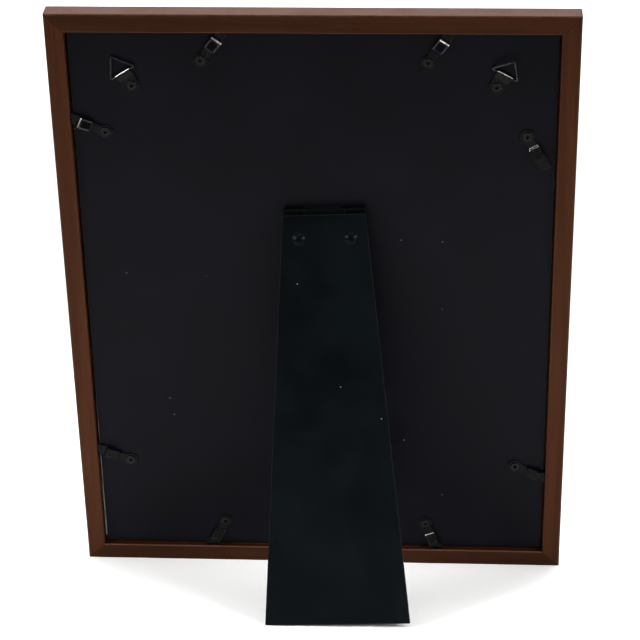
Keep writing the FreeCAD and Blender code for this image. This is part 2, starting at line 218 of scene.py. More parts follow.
STAIN_DARK = (0.0288, 0.0087, 0.0027)
STAIN_LIGHT = (0.0440, 0.0137, 0.0047)
STAIN_IN_PORES = (0.014, 0.0042, 0.0020)
STAIN_IN_JOINT = (0.007, 0.0026, 0.0020)
WOOD_RUBBED = (0.080, 0.044, 0.029)
# Colours of the painted highlights on the inner arris and on the head's top face
WOOD_LIP_PAINTED_HIGHLIGHT = (0.110, 0.062, 0.044)
WOOD_HEAD_PAINTED_HIGHLIGHT = (0.150, 0.056, 0.030)


def times(colour, factor):
    """A colour made lighter or darker."""
    return [part * factor for part in colour]


def stained_wood(name, along, shift, tone):
    """Satin brown stain on a close-grained wood; tone scales this rail's whole stain as painted light and
    shade.
    """
    finish = Finish(name)
    finish.own_space(FRAME_SPACE)
    x, y, z = finish.parts()

    def grain(width, length):
        size = [width, width, width]
        size[along] = length
        return finish.stretched([step * MM for step in size], (shift, 0.37 * shift, 0.71 * shift))

    bands = finish.noise(grain(7.0, 160.0), 2.0, 0.5, 0.4)
    streaks = finish.noise(grain(0.9, 45.0), 4.0, 0.6, 0.2)
    pores = finish.span(finish.noise(grain(0.22, 4.0), 1.0, 0.4), 0.58, 0.72)
    mixed = finish.sums("MULTIPLY_ADD", bands, 0.55, finish.product(streaks, 0.45))
    share = finish.span(mixed, 0.36, 0.64)
    # The tone makes this rail's stain darker or lighter as painted shade and light.
    colour = finish.blend(share, times(STAIN_DARK, tone), times(STAIN_LIGHT, tone))
    colour = finish.blend(finish.product(pores, 0.45), colour, STAIN_IN_PORES)

    # The outer arris is rubbed in patches.
    from_side = finish.sums("SUBTRACT", HALF_WIDTH, finish.sums("ABSOLUTE", x))
    from_head = finish.sums("SUBTRACT", HEIGHT, z)
    from_end = finish.sums("MINIMUM", z, from_head)
    inward = finish.sums("MINIMUM", from_side, from_end)
    patches = finish.noise(finish.stretched((5 * MM,) * 3, (2.3, shift, 0.4)), 4.0, 0.65)
    near_arris = finish.span(finish.sums("SUBTRACT", inward, y), 1.5 * MM, 0.2 * MM)
    rubbed = finish.product(near_arris, finish.span(patches, 0.35, 0.7))
    colour = finish.blend(finish.product(rubbed, 0.5), colour, WOOD_RUBBED)

    # A painted highlight lightens the inner arris and the top face of the head evenly.
    lip_highlight_band = finish.span(finish.gap(inward, (RAIL_BEHIND - 0.2) * MM), 0.5 * MM, 0.15 * MM)
    lip = finish.product(lip_highlight_band, finish.span(y, -0.8 * MM, -0.5 * MM))
    colour = finish.blend(finish.product(lip, LIP_PAINTED_HIGHLIGHT[along]), colour, WOOD_LIP_PAINTED_HIGHLIGHT)
    head_painted_highlight = finish.span(from_head, 0.12 * MM, 0.03 * MM)
    colour = finish.blend(finish.product(head_painted_highlight, 0.3), colour, WOOD_HEAD_PAINTED_HIGHLIGHT)

    # A fine dark line is the joint of the mitre.
    joint = finish.span(finish.gap(from_side, from_end), 0.32 * MM, 0.05 * MM)
    colour = finish.blend(finish.product(joint, 0.6), colour, STAIN_IN_JOINT)

    lacquer = finish.noise(finish.stretched((14 * MM,) * 3, (shift, 1.1, 0.2)), 3.0, 0.55)
    gloss = finish.span(lacquer, 0.3, 0.7, 0.30, 0.42)
    gloss = finish.sums("ADD", gloss, finish.product(pores, 0.15))
    height = finish.sums("MULTIPLY_ADD", pores, -0.6, finish.product(streaks, 0.35))
    height = finish.sums("SUBTRACT", height, joint)
    finish.surface(
        Base_Color=colour, Roughness=gloss, IOR=1.5, Specular_IOR_Level=0.045,
        Normal=finish.relief(height, 0.06 * MM, 0.6),
    )
    return finish.material


# Specks of dust: size of the cells they lie in, in millimetres, range of distances over which a
# speck fades, in cells, and range of a cell's random value over which it starts to have one
DUST_CELL = 24.0
DUST_NEAR = (0.018, 0.010)
DUST_RARE = (0.88, 0.89)
DUST = (0.20, 0.20, 0.19)
SHEET_WORN_AND_HIGHLIT = (0.07, 0.065, 0.062)


def black_sheet(name, matrix, tint, gloss, sheen, dust_shift):
    """Black-faced hardboard: a soft mottle, fine dimples, faint rubs on the edges that are partly wear and
    partly a painted highlight, and a few specks of dust.
    """
    finish = Finish(name)
    finish.own_space(matrix)
    mottle = finish.noise(finish.stretched((38 * MM,) * 3), 4.0, 0.55, 0.3)
    fine = finish.noise(finish.stretched((0.9 * MM,) * 3), 3.0, 0.6)
    fibre = finish.noise(finish.stretched((0.35 * MM, 0.35 * MM, 2.4 * MM)), 2.0, 0.5)
    colour = finish.blend(finish.span(mottle, 0.3, 0.7), times(tint, 0.72), times(tint, 1.28))
    colour = finish.blend(finish.span(fine, 0.62, 0.8, 0.0, 0.35), colour, times(tint, 2.2))

    # A speck lies at the middle of a cell, and only a few cells, picked by their random colour, have one.
    dust = finish.flat_cells(DUST_CELL * MM, dust_shift)
    pick = finish.node("ShaderNodeSeparateColor", {0: dust.outputs["Color"]}).outputs[0]
    speck = finish.product(finish.span(dust.outputs["Distance"], *DUST_NEAR), finish.span(pick, *DUST_RARE))
    colour = finish.blend(finish.product(speck, 0.8), colour, DUST)
    # The edges are lighter, partly as wear and partly as a painted highlight.
    worn_and_highlit = finish.worn_and_highlit_edges(0.5 * MM)
    colour = finish.blend(finish.product(worn_and_highlit, 0.35), colour, SHEET_WORN_AND_HIGHLIT)

    height = finish.sums("MULTIPLY_ADD", fibre, 0.4, finish.product(fine, 0.6))
    height = finish.sums("ADD", height, finish.product(speck, 2.0))
    finish.surface(
        Base_Color=colour, Roughness=finish.span(mottle, 0.3, 0.7, *gloss), IOR=1.5,
        Specular_IOR_Level=sheen, Normal=finish.relief(height, 0.05 * MM, 0.7),
    )
    return finish.material


# Each metal's finish, its colour along worn edges (partly worn steel, partly a painted highlight),
# least and greatest roughness, shift of its pattern, whether it is metallic (0 is a black enamel) and
# how strongly it mirrors
METALS = {
    "black_steel": ((0.0020, 0.0018, 0.0022), (0.11, 0.105, 0.10), (0.20, 0.32), 0.0, 0.0, 0.07),
    "rubbed_steel": ((0.42, 0.41, 0.40), (0.55, 0.53, 0.51), (0.28, 0.40), 6.0, 1.0, 0.5),
    # Darker and lighter copies of the black steel: painted shade in a clip's sunk panel and a painted
    # highlight on the border round it
    "panel_steel_painted_shade": ((0.0008, 0.0008, 0.0009), (0.05, 0.048, 0.046), (0.30, 0.42), 2.0, 0.0, 0.02),
    "border_steel_painted_highlight": ((0.015, 0.015, 0.016), (0.16, 0.155, 0.15), (0.24, 0.36), 5.0, 0.0, 0.12),
    "black_rivet": ((0.0026, 0.0025, 0.0030), (0.14, 0.135, 0.13), (0.16, 0.28), 4.0, 0.0, 0.12),
    "domed_rivet": ((0.0009, 0.0013, 0.0016), (0.06, 0.065, 0.066), (0.24, 0.36), 8.0, 0.0, 0.04),
    "black_hinge": ((0.0008, 0.0012, 0.0014), (0.030, 0.030, 0.030), (0.36, 0.52), 7.0, 0.0, 0.035),
    "ring_wire": ((0.024, 0.023, 0.025), (0.09, 0.088, 0.086), (0.26, 0.38), 9.0, 1.0, 0.5),
    # The pin's steel is darkened as painted shade, for it sits in shade within the knuckles.
    "pin_steel_painted_shade": ((0.09, 0.09, 0.095), (0.30, 0.30, 0.30), (0.34, 0.48), 5.0, 1.0, 0.5),
    "nail_steel": ((0.42, 0.42, 0.43), (0.60, 0.60, 0.60), (0.25, 0.40), 2.0, 1.0, 0.5),
}


def metal(name):
    """Steel with a thin finish, lighter along its edges, partly where it is rubbed through and partly as a
    painted highlight.
    """
    tint, worn_and_highlit_tint, gloss, shift, metallic, sheen = METALS[name]
    finish = Finish(name)
    patches = finish.noise(finish.stretched((3.2 * MM,) * 3, (shift, 0.2, 0.9)), 4.0, 0.6, 0.3)
    fine = finish.noise(finish.stretched((0.25 * MM,) * 3), 2.0, 0.5)
    colour = finish.blend(finish.span(patches, 0.3, 0.7), times(tint, 0.7), times(tint, 1.4))
    # Edges are lighter, partly as wear and partly as a painted highlight.
    worn_and_highlit = finish.product(finish.worn_and_highlit_edges(0.12 * MM), finish.span(patches, 0.3, 0.62, 0.15, 1.0))
    colour = finish.blend(finish.product(worn_and_highlit, 0.7), colour, worn_and_highlit_tint)
    finish.surface(
        Base_Color=colour, Metallic=metallic, Roughness=finish.span(patches, 0.3, 0.7, *gloss),
        Specular_IOR_Level=sheen, Normal=finish.relief(fine, 0.01 * MM, 0.4),
    )
    return finish.material


GLASS_TINT = (0.93, 0.975, 0.955, 1)


def clear_glass(name):
    """Float glass with faint wipe marks; its shadow lets the light through."""
    finish = Finish(name)
    finish.own_space(FRAME_SPACE)
    wiped = finish.noise(finish.stretched((60 * MM, 60 * MM, 14 * MM)), 4.0, 0.6, 1.2)
    finish.surface(
        Base_Color=GLASS_TINT, Transmission_Weight=1.0, IOR=1.5,
        Roughness=finish.span(wiped, 0.45, 0.75, 0.0, 0.035),
    )
    shadow = finish.node("ShaderNodeLightPath").outputs["Is Shadow Ray"]
    clear = finish.node("ShaderNodeBsdfTransparent", {0: GLASS_TINT}).outputs[0]
    both = finish.node("ShaderNodeMixShader", {0: shadow, 1: finish.shader.outputs[0], 2: clear}).outputs[0]
    finish.feed(finish.tree.nodes["Material Output"].inputs[0], both)
    return finish.material


CARD_LOW = (0.78, 0.765, 0.725)
CARD_HIGH = (0.83, 0.82, 0.785)


def mat_card(name, tone):
    """Off-white mounting card with a fine felt surface."""
    finish = Finish(name)
    finish.own_space(FRAME_SPACE)
    felt = finish.noise(finish.stretched((0.6 * MM,) * 3), 4.0, 0.65)
    drift = finish.noise(finish.stretched((45 * MM,) * 3), 2.0, 0.5)
    colour = finish.blend(finish.span(drift, 0.3, 0.7), times(CARD_LOW, tone), times(CARD_HIGH, tone))
    finish.surface(
        Base_Color=colour, Roughness=finish.span(felt, 0.3, 0.7, 0.82, 0.95),
        Normal=finish.relief(felt, 0.05 * MM, 0.6),
    )
    return finish.material


SKY_HEIGHTS = (0.16, 0.33)
SKY_LOW = (0.78, 0.66, 0.52)
SKY_HIGH = (0.36, 0.46, 0.55)
HILL_ROWS = 6
HILL_FAR = (0.44, 0.50, 0.52)
HILL_NEAR = (0.035, 0.060, 0.055)
HAZE = (0.60, 0.60, 0.56)
HAZE_DEPTH = 0.055
PAPER_BACK = (0.40, 0.37, 0.37)


def misty_hills(name):
    """A plain placeholder print: rows of hills fading into a pale sky, on paper with a grey back."""
    finish = Finish(name)
    finish.own_space(FRAME_SPACE)
    x, y, z = finish.parts()
    colour = finish.blend(finish.span(z, *SKY_HEIGHTS), SKY_LOW, SKY_HIGH)
    for row in range(HILL_ROWS):
        share = row / (HILL_ROWS - 1)
        base = 0.215 - 0.128 * share
        swing = 0.030 + 0.035 * share
        size = (70 - 22 * share) * MM
        line = finish.node("ShaderNodeCombineXYZ", {0: x, 1: 0.13 * row, 2: 0.0}).outputs[0]
        placed = finish.node("ShaderNodeMapping", {0: line, "Scale": (1 / size,) * 3}).outputs[0]
        ridge = finish.noise(placed, 5.0, 0.5)
        top = finish.sums("MULTIPLY_ADD", finish.sums("SUBTRACT", ridge, 0.5), 2 * swing, base)
        below = finish.sums("SUBTRACT", top, z)
        tone = [far * (1 - share) + near * share for far, near in zip(HILL_FAR, HILL_NEAR)]
        hazy = [0.5 * (part + haze) for part, haze in zip(tone, HAZE)]
        fading = finish.blend(finish.span(below, 0.0, HAZE_DEPTH), tone, hazy)
        colour = finish.blend(finish.span(below, 0.0, 0.6 * MM), colour, fading)
    printed = reach("picture_sheet", OUT)[0] - REAR
    behind = finish.span(y, printed + 0.03 * MM, printed + 0.06 * MM)
    colour = finish.blend(behind, colour, PAPER_BACK)
    tooth = finish.noise(finish.stretched((0.4 * MM,) * 3), 3.0, 0.6)
    finish.surface(
        Base_Color=colour, Roughness=finish.span(tooth, 0.3, 0.7, 0.50, 0.62),
        Normal=finish.relief(tooth, 0.02 * MM, 0.4),
    )
    return finish.material


# ---------------------------------------------------------------------------------------------
# Shapes of the metal pieces, in millimetres: X across, Y out, Z up the piece
# ---------------------------------------------------------------------------------------------

# Rounding of a pressed strip's edges, thickness of the board that the rivets go through, radius of
# the rivets' shanks, least and greatest height of a hole's cutter, and distance within which a CAD
# solid's vertices are one
EDGE = 0.14
BOARD = 3.0
RIVET_BORE = 1.5
CUTTER = (-1.0, 3.0)
WELD = 0.002

# A turn clip, measured up from its rivet: rows of (height, half width) and of (height, middle of
# the steel above the board), the sunk panel, and the bends that can be rubbed bright
CLIP_STEEL = 0.8
CLIP_EYE = 4.2
CLIP_NECK = 3.3
CLIP_LENGTH = 24.0
CLIP_TIP_ROUND = 1.5
CLIP_STEP = 0.3
CLIP_PLAY = 0.05
CLIP_WIDTHS = ((3.1, 2.6), (7.0, 2.6), (8.6, 3.4), (17.0, 3.4), (24.0, 2.75))
CLIP_LIFTS = ((-5.0, 0.6), (7.4, 0.6), (8.2, 1.9), (15.8, 3.2), (17.0, 0.9), (25.0, 0.9))
CLIP_PANEL = (9.7, 14.6)
CLIP_PANEL_HALF = 2.2
CLIP_PANEL_DEPTH = 0.3
CLIP_PANEL_RIM = 15.4
CLIP_GRIP = 1.1
RIDGE = (15.55, 16.5)
STEP_FOOT = (7.1, 7.45)
STEP_HEAD = (7.95, 8.35)
CLIP_RUBBED = {
    "clip_top_left": (RIDGE,), "clip_top_right": (RIDGE,), "clip_left_upper": (RIDGE,),
    "clip_right_upper": (STEP_FOOT, STEP_HEAD), "clip_bottom_right": (STEP_HEAD,),
}

# Materials of a clip's faces, as indexes into the list of steels; the panel's is painted shade and the
# border's a painted highlight
RUBBED = 1
PANEL_PAINTED_SHADE = 2
BORDER_PAINTED_HIGHLIGHT = 3

# A hanger strap, measured up from its rivet: its ring's bar lies in the fold at STRAP_BAR, and
# STRAP_LIFTS has rows of (height, middle of the upper layer above the board)
STRAP_STEEL = 0.58
STRAP_LAYER = 0.6
STRAP_END = 4.4
STRAP_HALF = 4.9
STRAP_BAR = 8.9
STRAP_RUBBED = (STRAP_BAR + 0.66, STRAP_BAR + 1.04)
BAR_OUT = 1.25
FOLD_MIDDLE = 0.95
STRAP_LIFTS = ((-5.0, 0.9), (5.0, 0.9), (STRAP_BAR, BAR_OUT + FOLD_MIDDLE), (STRAP_BAR + 1, 2.65))

# A hanging ring: radius of its wire, half its bar, its height, and the radius of its corners
RING_WIRE = 0.6
RING_HALF = 8.5
RING_HEIGHT = 12.2
RING_BEND = 0.8
RING_BEND_STEPS = 8
WIRE_SIDES = 16

# Thickness of the hinge's leaves
LEAF = 0.8

# Half sizes of a box that holds the mat's window but none of its outer corners
MAT_WINDOW_REACH = (110, 140)


def between(value, table):
    """Value at a place on the straight lines between the (place, value) rows of a table."""
    for (low, first), (high, second) in zip(table, table[1:]):
        if value <= high:
            return first + (second - first) * (value - low) / (high - low)
    return table[-1][1]


def smoothed(value, table, blur=0.35):
    """The same with its corners rounded off."""
    steps = [value + blur * part for part in (-1, -0.5, 0, 0.5, 1)]
    return sum(between(step, table) for step in steps) / len(steps)


def slope_at(value, table):
    """Slope, in radians, of the rounded line at a place."""
    rise = smoothed(value + 0.05, table) - smoothed(value - 0.05, table)
    return math.atan2(rise, 0.1)


def round_end(radius_mm, last):
    """Heights up a round end, in even steps round it from near its foot."""
    return [-radius_mm * math.cos(math.radians(angle)) for angle in range(3, last, 6)]


def strip_section(half, thick, panel_half, panel_depth):
    """Cross-section of a strip with softened edges and a sunk panel on top, as (across, out) points."""
    soft = min(EDGE, 0.4 * half)
    flat = half - soft
    top = thick / 2
    panel = min(panel_half, 0.7 * flat)
    lip = min(0.25, 0.2 * flat)
    corner = soft * (1 - math.sqrt(0.5))
    right = [
        (half - corner, top - corner), (half, top - soft),
        (half, soft - top), (half - corner, corner - top),
    ]
    left = [(-x, y) for x, y in reversed(right)]
    upper = [
        (-flat, top), (-panel - lip, top), (-panel, top - panel_depth),
        (panel, top - panel_depth), (panel + lip, top), (flat, top),
    ]
    return upper + right + [(flat, -top), (-flat, -top)] + left


def ribbon(stations, thick, panel_half=0.0):
    """Closed mesh of a bent strip; a station is (out, up, slope in radians, half width, panel depth)."""
    mesh = bmesh.new()
    rings = []
    for out, up, slope, half, panel_depth in stations:
        ring = []
        for x, lift in strip_section(half, thick, panel_half, panel_depth):
            place = (x, out + lift * math.cos(slope), up - lift * math.sin(slope))
            ring.append(mesh.verts.new(place))
        rings.append(ring)
    count = len(rings[0])
    for first, second in zip(rings, rings[1:]):
        for index in range(count):
            following = (index + 1) % count
            mesh.faces.new((first[index], first[following], second[following], second[index]))
    mesh.faces.new(rings[0])
    mesh.faces.new(rings[-1])
    bmesh.ops.recalc_face_normals(mesh, faces=mesh.faces)
    return mesh


def turned(points, steps=48):
    """Closed mesh of revolution about Y from (radius, out) points; it starts and ends on the axis."""
    mesh = bmesh.new()
    rings = []
    for radius, out in points:
        if radius == 0:
            rings.append([mesh.verts.new((0, out, 0))] * steps)
            continue
        angles = [2 * math.pi * step / steps for step in range(steps)]
        rings.append([mesh.verts.new((radius * math.cos(a), out, radius * math.sin(a))) for a in angles])
    for first, second in zip(rings, rings[1:]):
        for index in range(steps):
            following = (index + 1) % steps
            corners = [first[index], first[following], second[following], second[index]]
            mesh.faces.new(list(dict.fromkeys(corners)))
    bmesh.ops.recalc_face_normals(mesh, faces=mesh.faces)
    return mesh


def arc(centre, radius, start, end, steps=6):
    """Points of an arc, angles in degrees from the first axis."""
    angles = [math.radians(start + (end - start) * step / steps) for step in range(steps + 1)]
    return [(centre[0] + radius * math.cos(a), centre[1] + radius * math.sin(a)) for a in angles]


def piece(name, placed, materials, body, stands_for):
    """A finished object from (shape, matrix) pairs, standing for a CAD node and riding on its body."""
    whole = bmesh.new()
    for shape, matrix in placed:
        part = bpy.data.meshes.new(name)
        shape.to_mesh(part)
        part.transform(matrix)
        whole.from_mesh(part)
        bpy.data.meshes.remove(part)
    data = bpy.data.meshes.new(name)
    whole.to_mesh(data)
    whole.free()
    data.shade_smooth()
    data.set_sharp_from_angle(angle=math.radians(35))
    for material in materials:
        data.materials.append(material)
    made = bpy.data.objects.new(name, data)
    bpy.context.scene.collection.objects.link(made)
    flat = made.modifiers.new("flat_faces_stay_flat", "WEIGHTED_NORMAL")
    flat.keep_sharp = True
    flat.weight = 100
    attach(made, body)
    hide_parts(stands_for)


def bored(shape, radius):
    """The shape with a round hole along Y through its origin."""
    low, high = CUTTER
    plug = turned(((0, low), (radius, low), (radius, high), (0, high)))
    holders = []
    for name, part in (("bored", shape), ("plug", plug)):
        data = bpy.data.meshes.new(name)
        part.to_mesh(data)
        part.free()
        holder = bpy.data.objects.new(name, data)
        bpy.context.scene.collection.objects.link(holder)
        holders.append(holder)
    cut = holders[0].modifiers.new("bore", "BOOLEAN")
    cut.object = holders[1]
    cut.operation = "DIFFERENCE"
    cut.solver = "EXACT"
    ready = holders[0].evaluated_get(bpy.context.evaluated_depsgraph_get())
    result = bmesh.new()
    result.from_mesh(ready.data)
    for holder in holders:
        data = holder.data
        bpy.data.objects.remove(holder)
        bpy.data.meshes.remove(data)
    return result


def rub_bright(shape, low, high):
    """Rub the finish off the bend between two heights up the piece."""
    for face in shape.faces:
        middle = face.calc_center_median()
        on_bend = low < middle.z < high and middle.y > CLIP_STEEL
        if on_bend and 0.15 < face.normal.y < 0.97 and abs(face.normal.x) < 0.3:
            face.material_index = RUBBED


def shade_panel(shape):
    """Give the sunk panel a darker material as painted shade, and the border round it a lighter one as a
    painted highlight.
    """
    for face in shape.faces:
        middle = face.calc_center_median()
        beside_panel = CLIP_PANEL[0] - 0.4 < middle.z < CLIP_PANEL_RIM
        if beside_panel and face.normal.y > 0.7 and middle.y > CLIP_STEEL:
            if abs(middle.x) < CLIP_PANEL_HALF and middle.z < CLIP_PANEL[1]:
                face.material_index = PANEL_PAINTED_SHADE
            elif abs(middle.x) > CLIP_PANEL_HALF and face.material_index != RUBBED:
                face.material_index = BORDER_PAINTED_HIGHLIGHT


def clip_half(up):
    """Half width of a clip's blank at a height above its rivet."""
    if up < CLIP_WIDTHS[0][0]:
        return math.sqrt(max(CLIP_EYE ** 2 - up ** 2, EDGE ** 2))
    half = smoothed(up, CLIP_WIDTHS, 0.3)
    past = up - (CLIP_LENGTH - CLIP_TIP_ROUND)
    if past > 0:
        half -= CLIP_TIP_ROUND - math.sqrt(max(CLIP_TIP_ROUND ** 2 - past ** 2, 0))
    return half


def clip_shape(rubbed):
    """Pressed clip: round eye, waisted neck, panelled arm, sharp ridge and flat tip."""
    arm = CLIP_LENGTH - CLIP_NECK
    count = round(arm / CLIP_STEP)
    ups = round_end(CLIP_EYE, 139) + [CLIP_NECK + arm * index / count for index in range(count + 1)]
    stations = []
    for up in ups:
        sunk = CLIP_PANEL_DEPTH if CLIP_PANEL[0] < up < CLIP_PANEL[1] else 0.0
        stations.append((smoothed(up, CLIP_LIFTS), up, slope_at(up, CLIP_LIFTS), clip_half(up), sunk))
    shape = bored(ribbon(stations, CLIP_STEEL, CLIP_PANEL_HALF), RIVET_BORE + CLIP_PLAY)
    for low, high in rubbed:
        rub_bright(shape, low, high)
    # Only these clips get the panel's painted shade and the border's painted highlight.
    if RIDGE in rubbed:
        shade_panel(shape)
    return shape


def strap_half(up):
    """Half width of a strap at a height above its rivet."""
    if up < 0:
        return math.sqrt(max(STRAP_END ** 2 - up ** 2, EDGE ** 2))
    return STRAP_END + (STRAP_HALF - STRAP_END) * up / STRAP_BAR


def strap_shape():
    """Hanger strap folded round the ring's bar, its two layers riveted together."""
    ups = round_end(STRAP_END, 93) + [STRAP_BAR * step / 20 for step in range(1, 20)]
    stations = []
    for up in ups:
        stations.append((smoothed(up, STRAP_LIFTS), up, slope_at(up, STRAP_LIFTS), strap_half(up), 0.0))
    for degrees in range(80, -91, -10):
        turn = math.radians(degrees)
        out = BAR_OUT + FOLD_MIDDLE * math.sin(turn)
        up = STRAP_BAR + FOLD_MIDDLE * math.cos(turn)
        stations.append((out, up, turn - math.pi / 2, strap_half(STRAP_BAR), 0.0))
    for up in reversed(ups):
        stations.append((STRAP_LAYER / 2, up, -math.pi, strap_half(up), 0.0))
    shape = bored(ribbon(stations, STRAP_STEEL), RIVET_BORE)
    rub_bright(shape, *STRAP_RUBBED)
    return shape


def ring_shape():
    """Wire ring bent to a triangle, the middle of its bar at the origin and its point up."""
    corners = [Vector((RING_HALF, 0)), Vector((0, RING_HEIGHT)), Vector((-RING_HALF, 0))]
    path = []
    for index, corner in enumerate(corners):
        to_last = (corners[index - 1] - corner).normalized()
        to_next = (corners[(index + 1) % 3] - corner).normalized()
        half = to_last.angle(to_next) / 2
        centre = corner + (to_last + to_next).normalized() * (RING_BEND / math.sin(half))
        start = corner + to_last * (RING_BEND / math.tan(half)) - centre
        end = corner + to_next * (RING_BEND / math.tan(half)) - centre
        sweep = math.atan2(start.cross(end), start.dot(end))
        for step in range(RING_BEND_STEPS + 1):
            path.append(centre + Matrix.Rotation(sweep * step / RING_BEND_STEPS, 2) @ start)
    mesh = bmesh.new()
    rings = []
    for index, spot in enumerate(path):
        along = (path[(index + 1) % len(path)] - path[index - 1]).normalized()
        aside = Vector((-along.y, along.x))
        ring = []
        for step in range(WIRE_SIDES):
            angle = 2 * math.pi * step / WIRE_SIDES
            place = spot + aside * (RING_WIRE * math.cos(angle))
            ring.append(mesh.verts.new((place.x, RING_WIRE * math.sin(angle), place.y)))
        rings.append(ring)
    for index, ring in enumerate(rings):
        other = rings[(index + 1) % len(rings)]
        for step in range(WIRE_SIDES):
            following = (step + 1) % WIRE_SIDES
            mesh.faces.new((ring[step], ring[following], other[following], other[step]))
    bmesh.ops.recalc_face_normals(mesh, faces=mesh.faces)
    return mesh


def tubular_rivet(grip):
    """Rivet with a rolled head over a hollow shank, and a clinched tail behind the board."""
    head = 2.9
    thick = 0.8
    roll = thick / 2
    hollow = 1.0
    lip = 0.35
    tail = 2.4
    tail_out = 0.5 - BOARD
    outline = [(0, -BOARD), (tail, -BOARD), (tail, tail_out), (RIVET_BORE, tail_out), (RIVET_BORE, grip)]
    outline += arc((head - roll, grip + roll), roll, -90, 70, 7)
    outline += [(1.7, grip + 0.86 * thick)]
    outline += arc((hollow + lip, grip + 0.45), lip, 90, 180, 4)
    outline += [(hollow, 0.25), (0, 0)]
    return turned(outline)


def domed_rivet(inner, outer):
    """Solid rivet with a low domed head outside and a flat foot inside."""
    head = 3.75
    dome = 1.6
    ball = (head ** 2 + dome ** 2) / (2 * dome)
    sweep = math.degrees(math.asin(head / ball))
    crown = arc((0, outer + dome - ball), ball, 90 - sweep + 4, 90, 9)
    rim = [(head - 0.1, outer), (head, outer + 0.12)]
    foot = [(0, inner - 0.5), (2.3, inner - 0.5), (2.4, inner - 0.4), (2.4, inner), (RIVET_BORE, inner)]
    return turned(foot + [(RIVET_BORE, outer)] + rim + crown[:-1] + [(0, outer + dome)])


def softened(node, width_mm):
    """Copy of a CAD solid with its sharp edges rounded off."""
    shape = bmesh.new()
    shape.from_mesh(NODES[node].data)
    bmesh.ops.remove_doubles(shape, verts=shape.verts, dist=WELD * MM)
    bmesh.ops.dissolve_limit(shape, angle_limit=math.radians(0.5), verts=shape.verts, edges=shape.edges)
    sharp = [edge for edge in shape.edges if edge.is_manifold and edge.calc_face_angle() > math.radians(40)]
    bmesh.ops.bevel(
        shape, geom=sharp, offset=width_mm * MM, segments=2, profile=0.6, affect="EDGES", clamp_overlap=True,
    )
    return shape


def bevelled_mat():
    """Mounting card with its window cut at 45 degrees, wider at the front; cut faces show the core."""
    low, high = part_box("mat_board")
    shape = bmesh.new()
    shape.from_mesh(NODES["mat_board"].data)
    bmesh.ops.remove_doubles(shape, verts=shape.verts, dist=WELD * MM)
    front, back = reach("mat_board", OUT)
    near = 0.1 * MM
    spread = back - front
    middle = (low + high) / 2
    for vertex in shape.verts:
        place = vertex.co - middle
        across, up = place.dot(ACROSS), place.dot(UP)
        in_window = abs(across) < MAT_WINDOW_REACH[0] * MM and abs(up) < MAT_WINDOW_REACH[1] * MM
        if in_window and vertex.co.dot(OUT) < front + near:
            vertex.co += ACROSS * math.copysign(spread, across) + UP * math.copysign(spread, up)
    for face in shape.faces:
        if front + near < face.calc_center_median().dot(OUT) < back - near:
            face.material_index = 1
    return shape


def middle_of(node):
    """Middle of a CAD node's surface, weighted by area."""
    faces = NODES[node].data.polygons
    total = sum(face.area for face in faces)
    return sum((face.center * face.area for face in faces), Vector()) / total


def pair_places(node, matrix):
    """Middles, across and up, of the left and right solids of a node in a flat thing's space."""
    inverse = matrix.inverted()
    places = [inverse @ vertex.co for vertex in NODES[node].data.vertices]
    pair = []
    for side in (-1, 1):
        half = [place for place in places if place.x * side > 0]
        across = [place.x for place in half]
        up = [place.z for place in half]
        pair.append(((min(across) + max(across)) / 2, (min(up) + max(up)) / 2))
    return pair


def clip_seats():
    """Each clip's name with the space, on the board's rear face, in which it points up from its rivet."""
    board_face = reach("backing_board", OUT)[1]
    seats = {}
    for joint, facts in JOINTS.items():
        if joint.startswith("clip_"):
            name = facts["child"]
            place = Vector(facts["pos_m"])
            up = middle_of(name) - place
            up = (up - OUT * up.dot(OUT)).normalized()
            seats[name] = space(place + OUT * (board_face - place.dot(OUT)), OUT.cross(up), OUT)
    return seats


def ring_swing(name, seat):
    """The ring's place in its strap, with how far the CAD ring is swung out of the board."""
    bar = Vector((0, BAR_OUT, STRAP_BAR)) * MM
    middle = seat.inverted() @ middle_of(name) - bar
    turn = Matrix.Rotation(-math.atan2(middle.y, middle.z), 4, "X")
    return Matrix.Translation(bar) @ turn


def hanger_seats():
    """Each ring's name with the space of the hanger that holds it, from the strap's rivet up to the ring."""
    seats = {}
    for joint, facts in JOINTS.items():
        if joint.startswith("ring_"):
            name = facts["child"]
            bar = Vector(facts["pos_m"])
            across = Vector(facts["axis"]).normalized()
            if (middle_of(name) - bar).dot(across.cross(OUT)) < 0:
                across.negate()
            place = bar - (OUT * BAR_OUT + across.cross(OUT) * STRAP_BAR) * MM
            seats[name] = space(place, across, OUT)
    return seats


# ---------------------------------------------------------------------------------------------
# The object
# ---------------------------------------------------------------------------------------------

IN_MM = Matrix.Scale(MM, 4)
AS_IT_IS = Matrix.Identity(4)
BOARD_TINT = (0.0014, 0.0015, 0.0031)
LEG_TINT = (0.0008, 0.0017, 0.0023)


def sheet(name, node, round_mm, material, body):
    """A flat piece or bar with its edges rounded, made from its CAD solid."""
    piece(name, [(softened(node, round_mm), AS_IT_IS)], [material], body, node)


